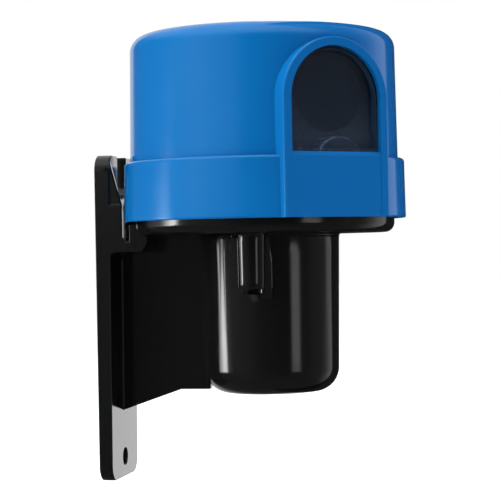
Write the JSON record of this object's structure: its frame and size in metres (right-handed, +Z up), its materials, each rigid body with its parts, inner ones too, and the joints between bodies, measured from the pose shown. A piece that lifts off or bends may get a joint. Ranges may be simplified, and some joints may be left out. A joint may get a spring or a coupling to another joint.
{
  "type": "photocell switch",
  "caption": "Wall-mounted photocell switch: round blue cap with an arched smoked window on a black base with a barrel, cable entry and flat wall bracket.",
  "frame": {"origin": "middle of the flat back face of the wall plate", "axes": "+X out from the wall, +Y across the plate, +Z up along the plate and the cap's axis"},
  "size_m": [0.0737, 0.0684, 0.1074],
  "materials": {
    "blue_plastic": "smooth moulded blue plastic",
    "smoked_pane": "polished smoked plastic",
    "black_plastic": "smooth moulded black plastic",
    "black_rubber": "matt rubber",
    "screw_steel": "zinc plated",
    "board_laminate": "bare laminate",
    "relay_case": "moulded case",
    "film_box": "moulded box",
    "can_sleeve": "shrunk sleeve",
    "varistor_coat": "dipped coat",
    "fuse_case": "moulded case",
    "black_epoxy": "moulded epoxy",
    "zener_glass": "glossy body",
    "resistor_coat": "lacquer coat",
    "sensor_face": "coated disc",
    "holder_plastic": "moulded dark plastic",
    "terminal_plastic": "moulded plastic",
    "clamp_brass": "plain brass"
  },
  "bodies": {
    "root": {"cap": "blue_plastic", "window_pane": "smoked_pane", "base": "black_plastic", "seal_ring": "black_rubber", "cap_screws": "screw_steel", "cable_grommet": "black_rubber", "circuit_board": "board_laminate", "board_screws": "screw_steel", "relay": "relay_case", "film_capacitor": "film_box", "smoothing_capacitor": "can_sleeve", "timing_capacitor": "can_sleeve", "varistor": "varistor_coat", "fuse": "fuse_case", "rectifier_diodes": "black_epoxy", "zener_diode": "zener_glass", "resistors": "resistor_coat", "transistor": "black_epoxy", "photoresistor": "sensor_face", "sensor_holder": "holder_plastic", "terminal_block": "terminal_plastic", "terminal_clamps": "clamp_brass", "terminal_screws": "screw_steel"}
  },
  "joints": []
}
